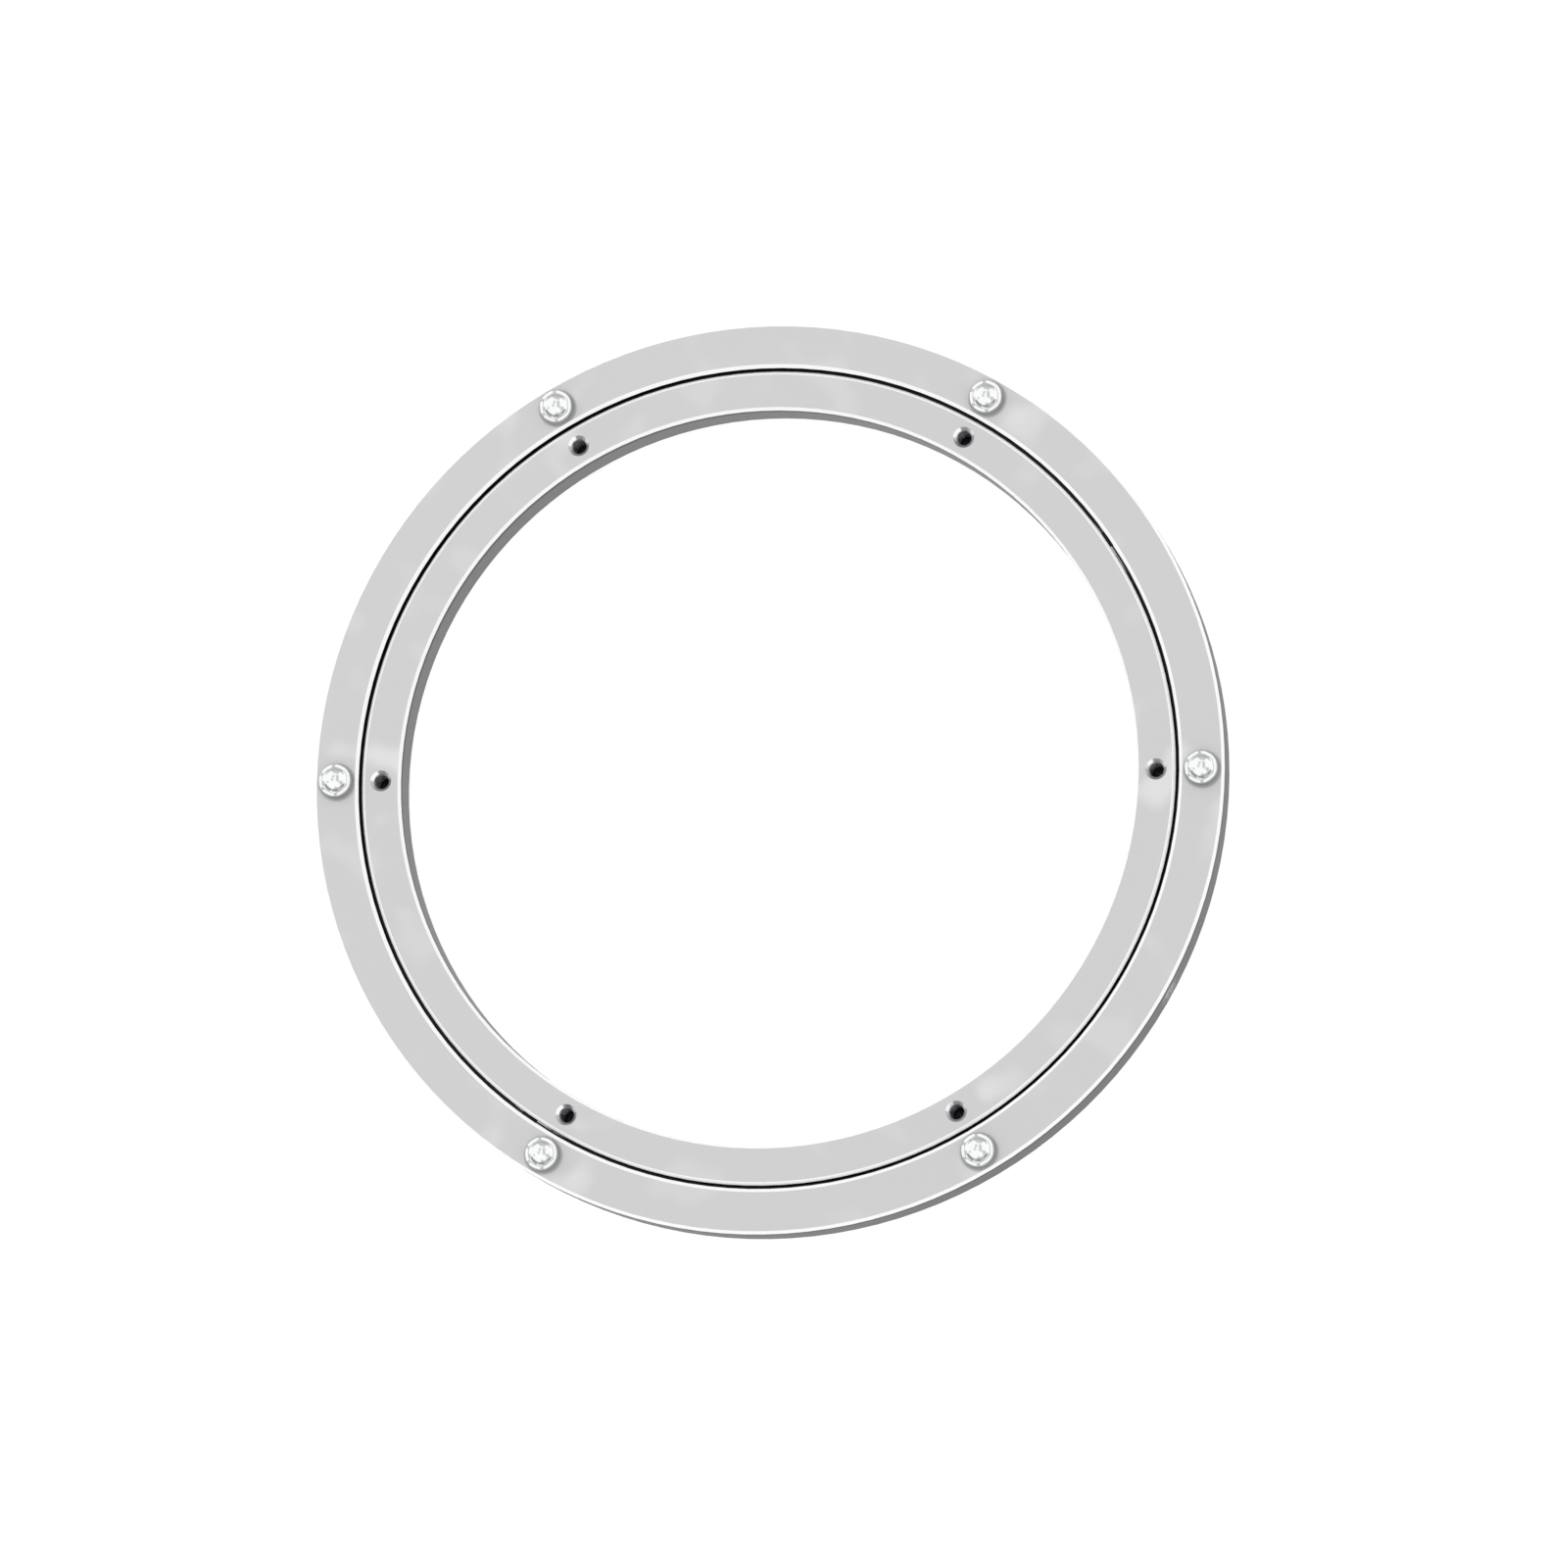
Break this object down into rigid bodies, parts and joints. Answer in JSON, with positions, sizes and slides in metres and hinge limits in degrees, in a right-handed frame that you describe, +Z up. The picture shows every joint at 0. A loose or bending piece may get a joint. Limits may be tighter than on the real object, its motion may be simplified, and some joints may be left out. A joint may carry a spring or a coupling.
{
  "type": "lazy susan bearing",
  "caption": "Flat turntable bearing: two concentric aluminium rings on a caged ball race, with clear grip pads above, dark feet below and countersunk screw holes.",
  "frame": {"origin": "on the turning axis, at the surface that the feet stand on", "axes": "+Z up along the turning axis, +X through the first pad and the first foot"},
  "size_m": [0.25, 0.25, 0.0165],
  "materials": {
    "ring_aluminium": "satin, bright turned chamfers",
    "plug_aluminium": "satin",
    "clear_silicone": "clear, glossy, soft",
    "dark_rubber": "dark, smooth, soft",
    "cage_nylon": "matte black",
    "ball_steel": "polished"
  },
  "bodies": {
    "fixed_ring": {"inner_ring": "ring_aluminium", "foot_1": "dark_rubber", "foot_2": "dark_rubber", "foot_3": "dark_rubber", "foot_4": "dark_rubber", "foot_5": "dark_rubber", "foot_6": "dark_rubber"},
    "turning_ring": {"outer_ring": "ring_aluminium", "ball_filler_plug": "plug_aluminium", "pad_1": "clear_silicone", "pad_2": "clear_silicone", "pad_3": "clear_silicone", "pad_4": "clear_silicone", "pad_5": "clear_silicone", "pad_6": "clear_silicone"},
    "ball_train": {"cage_segment_1": "cage_nylon", "cage_segment_2": "cage_nylon", "cage_segment_3": "cage_nylon", "cage_segment_4": "cage_nylon", "cage_segment_5": "cage_nylon", "cage_segment_6": "cage_nylon", "ball_01": "ball_steel", "ball_02": "ball_steel", "ball_03": "ball_steel", "ball_04": "ball_steel", "ball_05": "ball_steel", "ball_06": "ball_steel", "ball_07": "ball_steel", "ball_08": "ball_steel", "ball_09": "ball_steel", "ball_10": "ball_steel", "ball_11": "ball_steel", "ball_12": "ball_steel", "ball_13": "ball_steel", "ball_14": "ball_steel", "ball_15": "ball_steel", "ball_16": "ball_steel", "ball_17": "ball_steel", "ball_18": "ball_steel", "ball_19": "ball_steel", "ball_20": "ball_steel", "ball_21": "ball_steel", "ball_22": "ball_steel", "ball_23": "ball_steel", "ball_24": "ball_steel", "ball_25": "ball_steel", "ball_26": "ball_steel", "ball_27": "ball_steel", "ball_28": "ball_steel", "ball_29": "ball_steel", "ball_30": "ball_steel", "ball_31": "ball_steel", "ball_32": "ball_steel", "ball_33": "ball_steel", "ball_34": "ball_steel", "ball_35": "ball_steel", "ball_36": "ball_steel"}
  },
  "joints": [
    {"name": "ring_turn", "type": "hinge", "parent": "fixed_ring", "child": "turning_ring", "pos_m": [0, 0, 0.00825], "axis": [0, 0, 1], "continuous": true},
    {"name": "ball_train_turn", "type": "hinge", "parent": "fixed_ring", "child": "ball_train", "pos_m": [0, 0, 0.00825], "axis": [0, 0, 1], "continuous": true}
  ],
  "couplings": [
    {"joint": "ball_train_turn", "follows": "ring_turn", "ratio": 0.50749}
  ]
}
